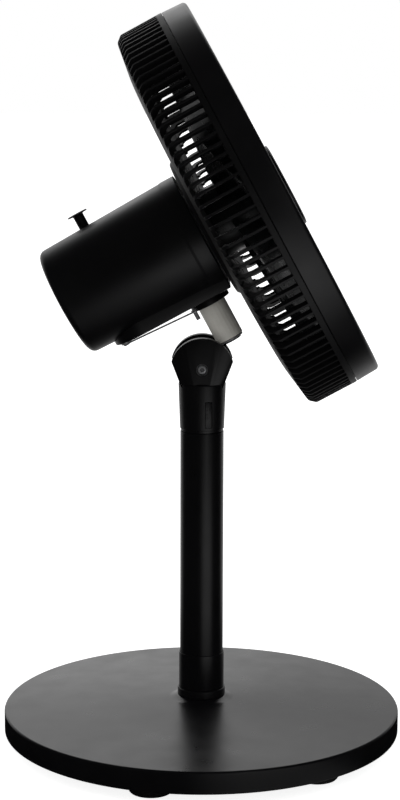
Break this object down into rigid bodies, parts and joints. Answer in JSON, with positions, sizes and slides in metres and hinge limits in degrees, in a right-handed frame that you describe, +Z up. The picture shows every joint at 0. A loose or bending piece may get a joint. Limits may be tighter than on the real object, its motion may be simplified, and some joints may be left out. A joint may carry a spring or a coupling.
{
  "type": "air circulator fan",
  "caption": "Round-guarded air circulator fan on a short pole and flat disc base, with a tilting and swivelling head.",
  "frame": {"origin": "on the floor, under the middle of the disc base", "axes": "+Z up, +X the way the fan blows when the head is not swivelled"},
  "size_m": [0.34, 0.344, 0.6258],
  "materials": {
    "housing": "satin black moulded plastic",
    "stand_paint": "satin black powder coat",
    "foot_rubber": "matt black rubber",
    "steel": "zinc-plated steel",
    "iron": "raw ballast iron",
    "aluminium": "die-cast aluminium",
    "laminations": "stacked motor laminations",
    "copper": "enamelled copper winding",
    "brass": "turned brass",
    "nylon": "natural nylon",
    "blade": "dark smoke-tinted blade plastic",
    "grey_plastic": "dark grey moulded plastic"
  },
  "bodies": {
    "stand": {"base_cover": "housing", "base_plate": "grey_plastic", "base_weight": "iron", "cord_gland": "foot_rubber", "base_bolt": "steel", "pole_foot": "steel", "base_collar": "housing", "pole_sleeve": "stand_paint", "pole_tube": "stand_paint", "foot_1": "foot_rubber", "foot_2": "foot_rubber", "foot_3": "foot_rubber", "foot_4": "foot_rubber", "foot_5": "foot_rubber", "foot_6": "foot_rubber", "neck_fork": "housing", "pivot_axle": "steel", "pivot_washer_near": "nylon", "pivot_washer_far": "nylon", "pivot_bolt": "steel", "pivot_nut": "steel"},
    "latch": {"neck_latch": "housing", "latch_spring": "steel"},
    "tilt": {"tilt_bracket": "housing", "swivel_bush": "nylon", "link_pin": "steel"},
    "head": {"motor_cover": "housing", "mount_plate": "grey_plastic", "cover_screw_1": "steel", "cover_screw_2": "steel", "speed_switch": "grey_plastic", "rear_bell": "aluminium", "front_bell": "aluminium", "rear_bushing": "brass", "front_bushing": "brass", "stator_core": "laminations", "rear_winding": "copper", "front_winding": "copper", "gearbox_case": "nylon", "gearbox_lid": "nylon", "capacitor": "grey_plastic", "swivel_post": "housing", "swivel_clip": "steel", "post_nut": "brass", "rear_guard": "housing", "guard_nut": "housing", "front_ring": "housing", "front_grille": "housing", "front_cap": "housing"},
    "spin": {"impeller": "blade", "motor_shaft": "steel", "rotor": "laminations", "worm": "brass", "impeller_nut": "housing"},
    "wheel": {"worm_wheel": "nylon"},
    "knob": {"swivel_knob": "housing"},
    "crank": {"crank": "steel"},
    "link": {"swivel_link": "steel"},
    "dial": {"speed_dial": "housing"}
  },
  "joints": [
    {"name": "latch_press", "type": "slide", "parent": "stand", "child": "latch", "axis": [0, 1, 0], "range_m": [0, 0.002], "stiffness_N_per_m": 300, "springref_m": -0.001},
    {"name": "head_tilt", "type": "hinge", "parent": "stand", "child": "tilt", "pos_m": [0, 0, 0.3248], "axis": [0, -1, 0], "range_deg": [-38.5, 1.5]},
    {"name": "oscillation", "type": "hinge", "parent": "tilt", "child": "head", "pos_m": [0.00948, 0, 0.37546], "axis": [-0.4772, 0, 0.8788], "range_deg": [-40, 40]},
    {"name": "blade_spin", "type": "hinge", "parent": "head", "child": "spin", "pos_m": [0.03042, 0, 0.45738], "axis": [0.8788, 0, 0.4772], "continuous": true},
    {"name": "wheel_turn", "type": "hinge", "parent": "head", "child": "wheel", "pos_m": [-0.07653, 0.014, 0.39931], "axis": [-0.4772, 0, 0.8788], "continuous": true},
    {"name": "knob_pull", "type": "slide", "parent": "head", "child": "knob", "axis": [-0.4772, 0, 0.8788], "range_m": [-0.0055, 0]},
    {"name": "crank_turn", "type": "hinge", "parent": "head", "child": "crank", "pos_m": [-0.05124, 0.014, 0.35274], "axis": [-0.4772, 0, 0.8788], "range_deg": [-40, 40]},
    {"name": "link_swing", "type": "hinge", "parent": "tilt", "child": "link", "pos_m": [-0.00644, -0.01485, 0.37365], "axis": [-0.4772, 0, 0.8788], "range_deg": [-40, 40]},
    {"name": "dial_turn", "type": "hinge", "parent": "head", "child": "dial", "pos_m": [-0.11282, 0, 0.37961], "axis": [-0.8788, 0, -0.4772], "range_deg": [0, 135]}
  ],
  "couplings": [
    {"joint": "wheel_turn", "follows": "blade_spin", "ratio": 0.071429},
    {"joint": "crank_turn", "follows": "oscillation", "ratio": -1},
    {"joint": "link_swing", "follows": "oscillation", "ratio": 1}
  ]
}
